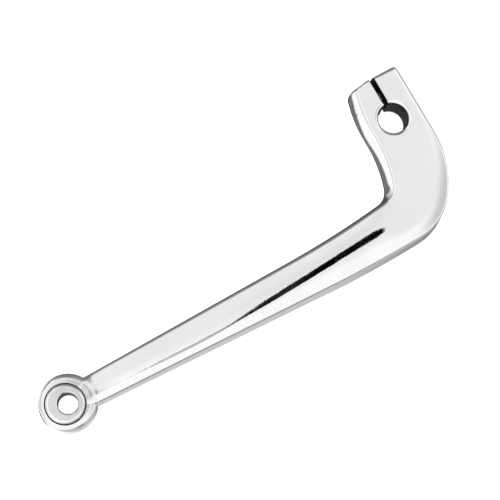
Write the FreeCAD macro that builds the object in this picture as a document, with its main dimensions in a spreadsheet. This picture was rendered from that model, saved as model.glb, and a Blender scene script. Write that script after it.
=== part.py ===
"""Foot gear-shift lever for a motorcycle, in millimetres.

The lever is one forging that lies on its flat back: a pinch clamp for a splined shift shaft, a bend, a
tapering arm and an eye for the toe peg's bolt. A cap screw with a spring washer closes the clamp.
Frame: origin on the clamp bore's axis at the back plane, +Z along the bore towards the polished front,
+X towards the eye.
"""
import FreeCAD, Part
import math
import os

import Sketcher
from FreeCAD import Placement, Rotation, Vector

# Driving dimensions: (alias, value, meaning).
SIZES = [
    ("hole_spacing", 216.5, "clamp bore axis to eye hole axis"),
    ("clamp_angle", 78.0, "clamp's length direction, from +X, in degrees"),
    ("arm_angle", 13.6, "fall of the arm's axis towards the eye, from +X, in degrees"),
    ("clamp_thick", 17.5, "front face above the back, clamp and bend"),
    ("draft", 3.0, "draft of the forged flanks, in degrees"),
    ("clamp_outer", 16.1, "bore axis to the outer flank"),
    ("clamp_inner", 15.3, "bore axis to the inner flank"),
    ("clamp_end", 24.2, "bore axis to the clamp's end face"),
    ("flat_start", 0.0, "inner flank is straight from this far below the bore axis"),
    ("flat_stop", 4.0, "to this far above it"),
    ("ear_arc", 70.0, "curve of the inner flank towards the end face"),
    ("bend_start", 16.7, "outer flank is straight up to here, from the bore axis"),
    ("bend_shoulder", 51.0, "radius of the outer edge where the bend starts"),
    ("bend_crown", 31.3, "radius of the outer edge round the bend's crown"),
    ("bend_belly", 530.0, "radius of the outer edge where the bend runs out into the arm"),
    ("belly_stop", 81.5, "X where the outer edge becomes straight"),
    ("bend_entry", 70.0, "radius that leads from the clamp into the inner corner"),
    ("bend_inner", 8.5, "radius of the bend's inner corner"),
    ("bend_hollow", 500.0, "radius of the inner edge where the bend runs out into the arm"),
    ("hollow_stop", 86.0, "X where the inner edge becomes straight"),
    ("arm_half", 7.95, "half the arm's width at the eye's centre"),
    ("arm_taper", 1.69, "slant of each arm edge against the arm's axis, in degrees"),
    ("arm_stop", 5.0, "arm's end plane, from the eye's centre"),
    ("neck_thick", 11.6, "arm's front face above the back, at the eye"),
    ("slope_start", 48.0, "X where the arm starts to get thinner"),
    ("slope_stop", 200.0, "X where it is as thin as the neck"),
    ("edge_round", 3.0, "rounding along the forged front edges"),
    ("corner_round", 3.0, "rounding of the end face's outer upright corner"),
    ("ear_round", 5.0, "rounding of its inner upright corner"),
    ("bore", 15.1, "bore across the spline lands"),
    ("spline_root", 16.0, "bore across the spline grooves"),
    ("spline_count", 36, "number of grooves"),
    ("groove_angle", 75.0, "angle of a V groove, in degrees"),
    ("bore_chamfer", 1.6, "chamfer at the bore's front rim"),
    ("rim_chamfer", 0.6, "chamfer at rims on the back"),
    ("slit", 2.4, "saw cut through the clamp"),
    ("slit_shift", 0.45, "saw cut's middle off the bore axis, towards the outer flank"),
    ("screw_drop", 13.7, "bore axis to the pinch screw's axis"),
    ("screw_level", 8.6, "pinch screw's axis above the back"),
    ("screw_tapped", 6.4, "tapped hole, across the thread's roots"),
    ("screw_clear", 6.8, "clearance hole in the outer ear"),
    ("screw_seat", 8.0, "bore axis to the counterbore's floor"),
    ("seat_width", 10.6, "counterbore's diameter"),
    ("eye_width", 29.8, "eye's outside diameter"),
    ("eye_drop", 0.75, "eye's outside and boss lie this far off the hole's centre, towards -Y"),
    ("eye_shift", 0.4, "eye's outside centre is this far short of the hole's centre"),
    ("eye_rim", 11.2, "eye's rim above the back"),
    ("eye_valley", 10.4, "groove round the boss, above the back"),
    ("rim_round", 3.4, "rounding of the eye's rim"),
    ("boss_width", 20.4, "raised boss's diameter"),
    ("boss_round", 1.4, "rounding of the boss's edge"),
    ("boss_height", 13.5, "boss's face above the back"),
    ("boss_shift", 1.15, "boss's centre beyond the hole's centre"),
    ("peg_hole", 10.3, "clearance hole for the toe peg's 3/8 in bolt"),
    ("peg_chamfer", 0.9, "chamfer at the peg hole's front rim"),
    ("thread", 6.3, "pinch screw's thread, outside diameter"),
    ("screw_length", 22.2, "pinch screw under its head"),
    ("tip_chamfer", 0.7, "chamfer at the screw's tip"),
    ("head_width", 9.5, "cap head's diameter"),
    ("head_height", 6.35, "cap head's height"),
    ("head_round", 0.5, "rounding of the head's top edge"),
    ("hex_socket", 4.76, "hex socket across flats"),
    ("hex_depth", 3.2, "hex socket's depth"),
    ("washer_bore", 6.44, "spring washer's inside diameter"),
    ("washer_width", 9.4, "spring washer's outside diameter"),
    ("washer_thick", 1.6, "spring washer's thickness"),
    ("washer_gap", 0.9, "split in the spring washer"),
]

NEAR = 0.5          # edges picked by their place lie this close to it
SAME = 0.01         # sizes closer than this are taken as equal
LEAST_CUT = 0.05    # a cut that removes less volume than this has missed

doc = FreeCAD.newDocument("shift_lever")


def make_sheet():
    """Fill the spreadsheet that drives every size."""
    sheet = doc.addObject("Spreadsheet::Sheet", "Sizes")
    for row, (alias, value, meaning) in enumerate(SIZES, start=1):
        sheet.set(f"A{row}", alias)
        sheet.set(f"B{row}", str(value))
        sheet.set(f"C{row}", meaning)
        sheet.setAlias(f"B{row}", alias)
    doc.recompute()
    return sheet


sheet = make_sheet()


def size(alias):
    """Present value of a driving dimension."""
    return float(sheet.get(alias))


def origin_plane(body, role):
    return next(f for f in body.Origin.OriginFeatures if f.Role == role)


def new_sketch(body, name, role="XY_Plane", offset=None):
    """Sketch on one of the body's own origin planes, moved by offset in the plane's own axes."""
    sketch = body.newObject("Sketcher::SketchObject", name)
    sketch.AttachmentSupport = [(origin_plane(body, role), "")]
    sketch.MapMode = "FlatFace"
    if offset is not None:
        sketch.AttachmentOffset = offset
    return sketch


def drive(sketch, expression, *constraint):
    """Add a dimension whose value comes from the sheet."""
    index = sketch.addConstraint(Sketcher.Constraint(*constraint))
    sketch.setExpression(f"Constraints[{index}]", expression)


def join(sketch, *pairs):
    """Make pairs of curve ends coincide: (curve, end, curve, end)."""
    for pair in pairs:
        sketch.addConstraint(Sketcher.Constraint("Coincident", *pair))


def polygon(sketch, points):
    """Closed run of lines through points; returns the first line's index."""
    first = sketch.GeometryCount
    corners = [Vector(x, y, 0) for x, y in points]
    for here, there in zip(corners, corners[1:] + corners[:1]):
        sketch.addGeometry(Part.LineSegment(here, there))
    count = len(corners)
    for i in range(count):
        sketch.addConstraint(Sketcher.Constraint("Coincident", first + i, 2, first + (i + 1) % count, 1))
    return first


def place(sketch, index, end, x_expression, y_expression, point):
    """Pin one point of a sketch to a place bound to the sheet; an expression of None is on the axis."""
    for kind, axis, expression, value in (
        ("DistanceX", -2, x_expression, point[0]),
        ("DistanceY", -1, y_expression, point[1]),
    ):
        if expression is None:
            sketch.addConstraint(Sketcher.Constraint("PointOnObject", index, end, axis))
        else:
            drive(sketch, expression, kind, -1, 1, index, end, value)


def circle(sketch, x_expression, y_expression, diameter_expression, x, y, radius):
    """Circle at a place bound to the sheet; an expression of None is on the axis."""
    index = sketch.addGeometry(Part.Circle(Vector(x, y, 0), Vector(0, 0, 1), radius))
    place(sketch, index, 3, x_expression, y_expression, (x, y))
    drive(sketch, diameter_expression, "Diameter", index, 2 * radius)


def pinned_polygon(sketch, corners):
    """Closed polygon; each corner is (x expression, y expression, x, y)."""
    first = polygon(sketch, [(x, y) for _, _, x, y in corners])
    for i, (x_expression, y_expression, x, y) in enumerate(corners):
        place(sketch, first + i, 1, x_expression, y_expression, (x, y))


def feature(body, kind, name, sketch, **settings):
    """PartDesign feature made from a sketch."""
    made = body.newObject(f"PartDesign::{kind}", name)
    made.Profile = sketch
    for key, value in settings.items():
        setattr(made, key, value)
    return made


def must_cut(made, before):
    """Stop when a cut removed nothing."""
    doc.recompute()
    if made.Shape.isNull() or made.Shape.Volume > before - LEAST_CUT:
        raise RuntimeError(f"{made.Label} removed nothing")
    return made


def turned(vector, degrees):
    return Rotation(Vector(0, 0, 1), degrees).multVec(vector)


def bearing(centre, point):
    return math.atan2(point.y - centre.y, point.x - centre.x)


def arc_between(centre, start, stop):
    """Arc about centre from start to stop, counter-clockwise."""
    whole = Part.Circle(centre, Vector(0, 0, 1), (start - centre).Length)
    return Part.ArcOfCircle(whole, bearing(centre, start), bearing(centre, stop))


def nested_centre(centre_a, radius_a, centre_b, radius_b, radius):
    """Centre of the circle that touches two bigger circles from inside, to the right from a to b."""
    near, far = radius_a - radius, radius_b - radius
    apart = centre_b - centre_a
    gap = apart.Length
    reach = (near ** 2 - far ** 2 + gap ** 2) / (2 * gap)
    rise = math.sqrt(near ** 2 - reach ** 2)
    way = apart * (1 / gap)
    return centre_a + way * reach + turned(way, -90) * rise


def touching(centre, inner_centre, radius):
    """Point where a circle meets the smaller one inside it."""
    way = inner_centre - centre
    return centre + way * (radius / way.Length)


def plan_outline(body):
    """Plan of clamp, bend and arm: straight flanks joined by tangent arcs."""
    sketch = new_sketch(body, "PlanOutline")

    # Starting places of the corners and tangent points; the constraints below hold them.
    along = turned(Vector(1, 0, 0), size("clamp_angle"))
    inward = turned(Vector(1, 0, 0), size("clamp_angle") - 90)
    to_bend = turned(Vector(-1, 0, 0), -size("arm_angle"))
    outward = turned(to_bend, -90)
    eye = Vector(size("hole_spacing") - size("eye_shift"), -size("eye_drop"), 0)
    arm_end = eye + to_bend * size("arm_stop")
    neck = size("arm_half") + size("arm_stop") * math.tan(math.radians(size("arm_taper")))
    neck_outer = arm_end + outward * neck
    neck_inner = arm_end - outward * neck
    lower_way = turned(to_bend, -size("arm_taper"))
    upper_way = turned(to_bend, size("arm_taper"))

    outer_start = along * -size("clamp_end") - inward * size("clamp_outer")
    shoulder_start = along * size("bend_start") - inward * size("clamp_outer")
    shoulder_centre = shoulder_start + inward * size("bend_shoulder")
    lower_start = neck_outer + lower_way * ((neck_outer.x - size("belly_stop")) / -lower_way.x)
    belly_centre = lower_start + turned(lower_way, 90) * size("bend_belly")
    crown_centre = nested_centre(shoulder_centre, size("bend_shoulder"), belly_centre, size("bend_belly"),
                                 size("bend_crown"))
    crown_start = touching(shoulder_centre, crown_centre, size("bend_shoulder"))
    crown_stop = touching(belly_centre, crown_centre, size("bend_belly"))

    flat_stop = along * size("flat_stop") + inward * size("clamp_inner")
    flat_start = along * -size("flat_start") + inward * size("clamp_inner")
    entry_centre = flat_stop + inward * size("bend_entry")
    upper_stop = neck_inner + upper_way * ((neck_inner.x - size("hollow_stop")) / -upper_way.x)
    hollow_centre = upper_stop + turned(upper_way, 90) * size("bend_hollow")
    inner_centre = nested_centre(entry_centre, size("bend_entry"), hollow_centre, size("bend_hollow"),
                                 size("bend_inner"))
    hollow_tangent = touching(hollow_centre, inner_centre, size("bend_hollow"))
    entry_tangent = touching(entry_centre, inner_centre, size("bend_entry"))
    ear_centre = flat_start - inward * size("ear_arc")
    ear_drop = size("clamp_end") - size("flat_start")
    ear_reach = math.sqrt(size("ear_arc") ** 2 - ear_drop ** 2)
    ear_corner = ear_centre + inward * ear_reach - along * ear_drop

    outer, shoulder, crown, belly, lower, cap, upper, hollow, inner, entry, flat, ear, end = range(13)
    sketch.addGeometry([
        Part.LineSegment(outer_start, shoulder_start),
        arc_between(shoulder_centre, crown_start, shoulder_start),
        arc_between(crown_centre, crown_stop, crown_start),
        arc_between(belly_centre, lower_start, crown_stop),
        Part.LineSegment(lower_start, neck_outer),
        Part.LineSegment(neck_outer, neck_inner),
        Part.LineSegment(neck_inner, upper_stop),
        arc_between(hollow_centre, upper_stop, hollow_tangent),
        arc_between(inner_centre, hollow_tangent, entry_tangent),
        arc_between(entry_centre, entry_tangent, flat_stop),
        Part.LineSegment(flat_stop, flat_start),
        arc_between(ear_centre, ear_corner, flat_start),
        Part.LineSegment(ear_corner, outer_start),
    ], False)
    clamp_axis, arm_axis = sketch.addGeometry([
        Part.LineSegment(Vector(0, 0, 0), along * -size("clamp_end")),
        Part.LineSegment(eye, arm_end),
    ], True)

    join(sketch, (lower, 2, cap, 1), (cap, 2, upper, 1), (ear, 1, end, 1), (end, 2, outer, 1))
    for pair in (
        (outer, 2, shoulder, 2), (shoulder, 1, crown, 2), (crown, 1, belly, 2), (belly, 1, lower, 1),
        (upper, 2, hollow, 1), (hollow, 2, inner, 1), (inner, 2, entry, 1), (entry, 2, flat, 1),
        (flat, 2, ear, 2),
    ):
        sketch.addConstraint(Sketcher.Constraint("Tangent", *pair))

    join(sketch, (clamp_axis, 1, -1, 1))
    drive(sketch, "Sizes.clamp_end", "Distance", clamp_axis, size("clamp_end"))
    drive(sketch, "Sizes.clamp_angle - 180", "Angle", clamp_axis, math.radians(size("clamp_angle") - 180))
    sketch.addConstraint(Sketcher.Constraint("Parallel", outer, clamp_axis))
    sketch.addConstraint(Sketcher.Constraint("Parallel", flat, clamp_axis))
    sketch.addConstraint(Sketcher.Constraint("Perpendicular", end, clamp_axis))
    sketch.addConstraint(Sketcher.Constraint("PointOnObject", clamp_axis, 2, end))
    drive(sketch, "Sizes.clamp_outer", "Distance", -1, 1, outer, size("clamp_outer"))
    drive(sketch, "Sizes.clamp_inner", "Distance", -1, 1, flat, size("clamp_inner"))
    drive(sketch, "Sizes.clamp_end + Sizes.flat_stop", "Distance", flat, 1, end,
          size("clamp_end") + size("flat_stop"))
    drive(sketch, "Sizes.clamp_end - Sizes.flat_start", "Distance", flat, 2, end, ear_drop)

    drive(sketch, "Sizes.clamp_end + Sizes.bend_start", "Distance", outer, 2, end,
          size("clamp_end") + size("bend_start"))
    drive(sketch, "Sizes.belly_stop", "DistanceX", -1, 1, lower, 1, size("belly_stop"))
    drive(sketch, "Sizes.hollow_stop", "DistanceX", -1, 1, upper, 2, size("hollow_stop"))
    place(sketch, arm_axis, 1, "Sizes.hole_spacing - Sizes.eye_shift", "-Sizes.eye_drop", (eye.x, eye.y))
    drive(sketch, "Sizes.arm_stop", "Distance", arm_axis, size("arm_stop"))
    drive(sketch, "180 - Sizes.arm_angle", "Angle", arm_axis, math.radians(180 - size("arm_angle")))
    sketch.addConstraint(Sketcher.Constraint("Symmetric", cap, 1, cap, 2, arm_axis, 2))
    sketch.addConstraint(Sketcher.Constraint("Perpendicular", cap, arm_axis))
    drive(sketch, "2 * (Sizes.arm_half + Sizes.arm_stop * tan(Sizes.arm_taper * 1 deg))",
          "Distance", cap, 2 * neck)
    drive(sketch, "180 - Sizes.arm_angle + Sizes.arm_taper", "Angle", upper,
          math.radians(180 - size("arm_angle") + size("arm_taper")))
    drive(sketch, "-Sizes.arm_angle - Sizes.arm_taper", "Angle", lower,
          math.radians(-size("arm_angle") - size("arm_taper")))
    for curve, alias in (
        (shoulder, "bend_shoulder"), (crown, "bend_crown"), (belly, "bend_belly"),
        (hollow, "bend_hollow"), (inner, "bend_inner"), (entry, "bend_entry"), (ear, "ear_arc"),
    ):
        drive(sketch, f"Sizes.{alias}", "Radius", curve, size(alias))
    return sketch


def side_slope(body):
    """Region above the arm's front face, seen from the side: it falls gently towards the eye."""
    sketch = new_sketch(body, "SideSlope", "XZ_Plane")
    start, stop = size("slope_start"), size("slope_stop")
    thick, neck = size("clamp_thick"), size("neck_thick")
    above = 2 * thick
    past = size("hole_spacing") + size("eye_width")
    pinned_polygon(sketch, [
        ("Sizes.slope_start", "Sizes.clamp_thick", start, thick),
        ("Sizes.slope_stop", "Sizes.neck_thick", stop, neck),
        ("Sizes.hole_spacing + Sizes.eye_width", "Sizes.neck_thick", past, neck),
        ("Sizes.hole_spacing + Sizes.eye_width", "2 * Sizes.clamp_thick", past, above),
        ("Sizes.slope_start", "2 * Sizes.clamp_thick", start, above),
    ])
    return sketch


def middle(edge):
    return edge.valueAt((edge.FirstParameter + edge.LastParameter) / 2)


def outward_normal(face):
    u_low, u_high, v_low, v_high = face.ParameterRange
    return face.normalAt((u_low + u_high) / 2, (v_low + v_high) / 2)


def named_edges(shape, wanted):
    """Names of the edges that wanted(edge) picks."""
    return [f"Edge{i}" for i, edge in enumerate(shape.Edges, start=1) if wanted(edge)]


def front_boundary(shape):
    """Edges round the front faces, leaving out those between two front faces."""
    seen = {}
    for face in shape.Faces:
        if outward_normal(face).z > 0.9:
            for edge in face.Edges:
                key = edge.hashCode()
                seen[key] = seen.get(key, 0) + 1
    return lambda edge: seen.get(edge.hashCode(), 0) == 1


def dress(body, kind, name, base, edges, **expressions):
    """Fillet or chamfer on named edges of the base feature."""
    if not edges:
        raise RuntimeError(f"{name} found no edges")
    made = body.newObject(f"PartDesign::{kind}", name)
    made.Base = (base, edges)
    for key, expression in expressions.items():
        made.setExpression(key, expression)
    doc.recompute()
    return made


def along_clamp(point):
    return point * turned(Vector(1, 0, 0), size("clamp_angle"))


def blank(body):
    """Forged blank of clamp, bend and arm, with its draft, slope and rounded front edges."""
    pad = feature(body, "Pad", "Blank", plan_outline(body))
    pad.setExpression("Length", "Sizes.clamp_thick")
    pad.setExpression("TaperAngle", "-Sizes.draft")
    doc.recompute()

    slope = feature(body, "Pocket", "ArmSlope", side_slope(body), Type=0, Midplane=True)
    slope.setExpression("Length", "Sizes.hole_spacing * 2")
    must_cut(slope, pad.Shape.Volume)

    neck_x = size("hole_spacing") - 2 * size("arm_stop")

    def upright_corner(shape, inner):
        """Edges at the end face's upright corner on one side."""
        inward = turned(Vector(1, 0, 0), size("clamp_angle") - 90)
        return named_edges(shape, lambda e: along_clamp(middle(e)) < NEAR - size("clamp_end")
                           and abs(middle(e).z - size("clamp_thick") / 2) < NEAR
                           and (middle(e) * inward > 0) == inner)

    outer = dress(body, "Fillet", "OuterCorner", slope, upright_corner(slope.Shape, False),
                  Radius="Sizes.corner_round")
    upright = dress(body, "Fillet", "EarCorner", outer, upright_corner(outer.Shape, True),
                    Radius="Sizes.ear_round")

    at_front = front_boundary(upright.Shape)
    rim = named_edges(upright.Shape, lambda e: at_front(e) and middle(e).x < neck_x)
    return dress(body, "Fillet", "FrontEdges", upright, rim, Radius="Sizes.edge_round")


def dropped_sketch(body, name):
    """Sketch in the upright plane through the eye's own axis."""
    sketch = new_sketch(body, name, "XZ_Plane")
    sketch.setExpression("AttachmentOffset.Base.z", "Sizes.eye_drop")
    return sketch


def eye_profile(body):
    """Half section of the eye's disc: flank, rounded rim and a shallow groove round the boss."""
    sketch = dropped_sketch(body, "EyeProfile")
    centre = size("hole_spacing") - size("eye_shift")
    outside = centre + size("eye_width") / 2
    rim, rounding, valley = size("eye_rim"), size("rim_round"), size("eye_valley")
    groove = centre + size("boss_width") / 2
    middle_x = "Sizes.hole_spacing - Sizes.eye_shift"
    edge = f"{middle_x} + Sizes.eye_width / 2"
    corners = [
        (middle_x, None, centre, 0),
        (edge, None, outside, 0),
        (edge, "Sizes.eye_rim - Sizes.rim_round", outside, rim - rounding),
        (f"{edge} - Sizes.rim_round", "Sizes.eye_rim", outside - rounding, rim),
        (f"{middle_x} + Sizes.boss_width / 2", "Sizes.eye_valley", groove, valley),
        (middle_x, "Sizes.eye_valley", centre, valley),
    ]
    rounded_section(sketch, corners, 2, "Sizes.rim_round", rounding)
    return sketch


def boss_profile(body):
    """Half section of the raised boss, from inside the disc up to its flat face."""
    sketch = dropped_sketch(body, "BossProfile")
    centre = size("hole_spacing") + size("boss_shift")
    outside = centre + size("boss_width") / 2
    top, rounding = size("boss_height"), size("boss_round")
    middle_x = "Sizes.hole_spacing + Sizes.boss_shift"
    edge = f"{middle_x} + Sizes.boss_width / 2"
    corners = [
        (middle_x, None, centre, 0),
        (edge, None, outside, 0),
        (edge, "Sizes.boss_height - Sizes.boss_round", outside, top - rounding),
        (f"{edge} - Sizes.boss_round", "Sizes.boss_height", outside - rounding, top),
        (middle_x, "Sizes.boss_height", centre, top),
    ]
    rounded_section(sketch, corners, 2, "Sizes.boss_round", rounding)
    return sketch


def rounded_section(sketch, corners, rounded, radius_expression, radius):
    """Closed section with pinned corners; the side that starts at corner number rounded is a quarter arc.

    Its upright side over the first corner is the axis to turn about, drawn as construction line 0.
    """
    points = [Vector(x, y, 0) for _, _, x, y in corners]
    count = len(points)
    for i, here in enumerate(points):
        there = points[(i + 1) % count]
        if i == rounded:
            centre = Vector(there.x, here.y, 0)
            sketch.addGeometry(arc_between(centre, here, there))
        else:
            sketch.addGeometry(Part.LineSegment(here, there))
    for i in range(count):
        sketch.addConstraint(Sketcher.Constraint("Coincident", i, 2, (i + 1) % count, 1))
    for i, (x_expression, y_expression, x, y) in enumerate(corners):
        place(sketch, i, 1, x_expression, y_expression, (x, y))
    drive(sketch, radius_expression, "Radius", rounded, radius)
    axis = sketch.addGeometry(Part.LineSegment(points[0], points[-1]), True)
    join(sketch, (axis, 1, 0, 1), (axis, 2, count - 1, 1))


def revolve(body, name, sketch):
    """Turn a section about its own construction line."""
    made = feature(body, "Revolution", name, sketch, Angle=360)
    made.ReferenceAxis = (sketch, ["Axis0"])
    doc.recompute()
    return made


def clamp_sketch(body, name):
    """Sketch on the back plane whose Y runs along the clamp."""
    sketch = new_sketch(body, name, "XY_Plane", Placement(Vector(), Rotation(Vector(0, 0, 1), 1)))
    sketch.setExpression("AttachmentOffset.Rotation.Angle", "Sizes.clamp_angle - 90")
    return sketch


def cut(body, name, sketch, before, **settings):
    made = feature(body, "Pocket", name, sketch, **settings)
    return must_cut(made, before.Shape.Volume)


def circle_of(edge):
    """The edge's circle, or None for any other curve."""
    try:
        curve = edge.Curve
    except TypeError:
        return None
    return curve if curve.TypeId == "Part::GeomCircle" else None


def round_edges_at(shape, centre, diameter, level):
    """Names of circular edges of a diameter, centred over a plan point at a level."""
    def wanted(edge):
        curve = circle_of(edge)
        return (
            curve is not None
            and abs(2 * curve.Radius - diameter) < SAME
            and math.hypot(curve.Center.x - centre[0], curve.Center.y - centre[1]) < SAME
            and abs(curve.Center.z - level) < SAME
        )
    return named_edges(shape, wanted)


def through_hole(body, name, base, x_expression, x, diameter_alias):
    """Hole right through, on the X axis, cut upwards from the back plane."""
    sketch = new_sketch(body, f"{name}Circle")
    circle(sketch, x_expression, None, f"Sizes.{diameter_alias}", x, 0, size(diameter_alias) / 2)
    return cut(body, name, sketch, base, Type=1, Reversed=True)


def spline_groove(body):
    """One V groove of the spline: its tip is at the groove's root, its mouth inside the bore."""
    sketch = new_sketch(body, "SplineV")
    root = size("spline_root") / 2
    mouth = size("bore") * 1.5 - size("spline_root")
    half = (root - mouth) * math.tan(math.radians(size("groove_angle") / 2))
    mouth_x = "Sizes.bore * 1.5 - Sizes.spline_root"
    half_width = "(Sizes.spline_root - Sizes.bore) * 1.5 * tan(Sizes.groove_angle / 2 * 1 deg)"
    pinned_polygon(sketch, [
        ("Sizes.spline_root / 2", None, root, 0),
        (mouth_x, half_width, mouth, half),
        (mouth_x, f"-{half_width}", mouth, -half),
    ])
    return sketch


def clamp_bore(body, base):
    """Bore with chamfered rims and its spline grooves."""
    bore = through_hole(body, "Bore", base, None, 0, "bore")
    front = round_edges_at(bore.Shape, (0, 0), size("bore"), size("clamp_thick"))
    chamfered = dress(body, "Chamfer", "BoreFrontRim", bore, front, Size="Sizes.bore_chamfer")
    back = round_edges_at(chamfered.Shape, (0, 0), size("bore"), 0)
    chamfered = dress(body, "Chamfer", "BoreBackRim", chamfered, back, Size="Sizes.rim_chamfer")

    groove = cut(body, "SplineGroove", spline_groove(body), chamfered, Type=1, Reversed=True)
    pattern = body.newObject("PartDesign::PolarPattern", "Spline")
    pattern.Originals = [groove]
    pattern.Axis = (origin_plane(body, "Z_Axis"), [""])
    pattern.Angle = 360
    pattern.setExpression("Occurrences", "Sizes.spline_count")
    body.Tip = pattern
    return must_cut(pattern, groove.Shape.Volume)


def saw_slit(body, base):
    """Saw cut from the bore out through the clamp's end."""
    sketch = clamp_sketch(body, "SlitOutline")
    half, shift, far = size("slit") / 2, size("slit_shift"), size("clamp_end") + size("slit")
    inner_x = "Sizes.slit / 2 - Sizes.slit_shift"
    outer_x = "-Sizes.slit / 2 - Sizes.slit_shift"
    pinned_polygon(sketch, [
        (inner_x, None, half - shift, 0),
        (outer_x, None, -half - shift, 0),
        (outer_x, "-Sizes.clamp_end - Sizes.slit", -half - shift, -far),
        (inner_x, "-Sizes.clamp_end - Sizes.slit", half - shift, -far),
    ])
    return cut(body, "Slit", sketch, base, Type=1, Reversed=True)


def screw_sketch(body, name, diameter_alias, shift_alias=None):
    """Circle about the pinch screw's axis, in a plane square to it."""
    sketch = new_sketch(body, name, "YZ_Plane", Placement(Vector(), Rotation(Vector(0, 1, 0), 1)))
    sketch.setExpression("AttachmentOffset.Rotation.Angle", "Sizes.clamp_angle - 90")
    if shift_alias:
        turn = "(Sizes.clamp_angle - 90) * 1 deg"
        sketch.setExpression("AttachmentOffset.Base.x", f"-Sizes.{shift_alias} * sin({turn})")
        sketch.setExpression("AttachmentOffset.Base.z", f"-Sizes.{shift_alias} * cos({turn})")
    circle(sketch, "-Sizes.screw_drop", "Sizes.screw_level", f"Sizes.{diameter_alias}",
           -size("screw_drop"), size("screw_level"), size(diameter_alias) / 2)
    return sketch


def screw_holes(body, base):
    """Tapped hole in the inner ear, clearance hole and counterbore in the outer one."""
    tapped = cut(body, "TappedHole", screw_sketch(body, "TappedCircle", "screw_tapped"), base,
                 Type=1, Reversed=True)
    clear = cut(body, "ClearanceHole", screw_sketch(body, "ClearanceCircle", "screw_clear"), tapped, Type=1)
    seat = screw_sketch(body, "SeatCircle", "seat_width", "screw_seat")
    return cut(body, "Counterbore", seat, clear, Type=1)


def make_lever():
    body = doc.addObject("PartDesign::Body", "lever_arm")
    blank(body)
    revolve(body, "EyeDisc", eye_profile(body))
    boss = revolve(body, "EyeBoss", boss_profile(body))
    peg = through_hole(body, "PegHole", boss, "Sizes.hole_spacing", size("hole_spacing"), "peg_hole")
    eye = (size("hole_spacing"), 0)
    front = round_edges_at(peg.Shape, eye, size("peg_hole"), size("boss_height"))
    rim = dress(body, "Chamfer", "PegFrontRim", peg, front, Size="Sizes.peg_chamfer")
    back = round_edges_at(rim.Shape, eye, size("peg_hole"), 0)
    rim = dress(body, "Chamfer", "PegBackRim", rim, back, Size="Sizes.rim_chamfer")
    splined = clamp_bore(body, rim)
    slit = saw_slit(body, splined)
    body.Tip = screw_holes(body, slit)
    return body


def screw_place(body):
    """Stand a body on the pinch screw's axis: its own +Z leaves the clamp, its XY plane is under the head."""
    body.Placement.Rotation = Rotation(Vector(0, 0, 1), turned(Vector(-1, 0, 0), size("clamp_angle") - 90))
    turn = "(Sizes.clamp_angle - 90) * 1 deg"
    reach = "(Sizes.screw_seat + Sizes.washer_thick)"
    body.setExpression("Placement.Base.x", f"Sizes.screw_drop * sin({turn}) - {reach} * cos({turn})")
    body.setExpression("Placement.Base.y", f"-Sizes.screw_drop * cos({turn}) - {reach} * sin({turn})")
    body.setExpression("Placement.Base.z", "Sizes.screw_level")


def screw_profile(body):
    """Half section of the cap screw: chamfered tip, shank, head with a rounded top edge."""
    sketch = new_sketch(body, "ScrewProfile", "XZ_Plane")
    thread, head = size("thread") / 2, size("head_width") / 2
    length, top = size("screw_length"), size("head_height")
    tip, rounding = size("tip_chamfer"), size("head_round")
    corners = [
        (None, "-Sizes.screw_length", 0, -length),
        ("Sizes.thread / 2 - Sizes.tip_chamfer", "-Sizes.screw_length", thread - tip, -length),
        ("Sizes.thread / 2", "-Sizes.screw_length + Sizes.tip_chamfer", thread, tip - length),
        ("Sizes.thread / 2", None, thread, 0),
        ("Sizes.head_width / 2", None, head, 0),
        ("Sizes.head_width / 2", "Sizes.head_height - Sizes.head_round", head, top - rounding),
        ("Sizes.head_width / 2 - Sizes.head_round", "Sizes.head_height", head - rounding, top),
        (None, "Sizes.head_height", 0, top),
    ]
    rounded_section(sketch, corners, 5, "Sizes.head_round", rounding)
    return sketch


def hexagon(body, name, across_alias, level_expression):
    """Hexagon round the Z axis at a level."""
    sketch = new_sketch(body, name, "XY_Plane", Placement())
    sketch.setExpression("AttachmentOffset.Base.z", level_expression)
    corner = size(across_alias) / math.sqrt(3)
    places = []
    for i in range(6):
        angle = 60 * i
        x = corner * math.cos(math.radians(angle))
        y = corner * math.sin(math.radians(angle))
        x_expression = f"Sizes.{across_alias} / sqrt(3) * cos({angle} deg)"
        y_expression = f"Sizes.{across_alias} / sqrt(3) * sin({angle} deg)" if i % 3 else None
        places.append((x_expression, y_expression, x, y if i % 3 else 0))
    pinned_polygon(sketch, places)
    return sketch


def make_screw():
    """Socket-head cap screw that pulls the ears together."""
    body = doc.addObject("PartDesign::Body", "pinch_screw")
    turned_blank = revolve(body, "ScrewBlank", screw_profile(body))
    socket = hexagon(body, "HexSocket", "hex_socket", "Sizes.head_height")
    pocket = cut(body, "Socket", socket, turned_blank, Type=0)
    pocket.setExpression("Length", "Sizes.hex_depth")
    must_cut(pocket, turned_blank.Shape.Volume)
    body.Tip = pocket
    screw_place(body)
    return body


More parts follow.
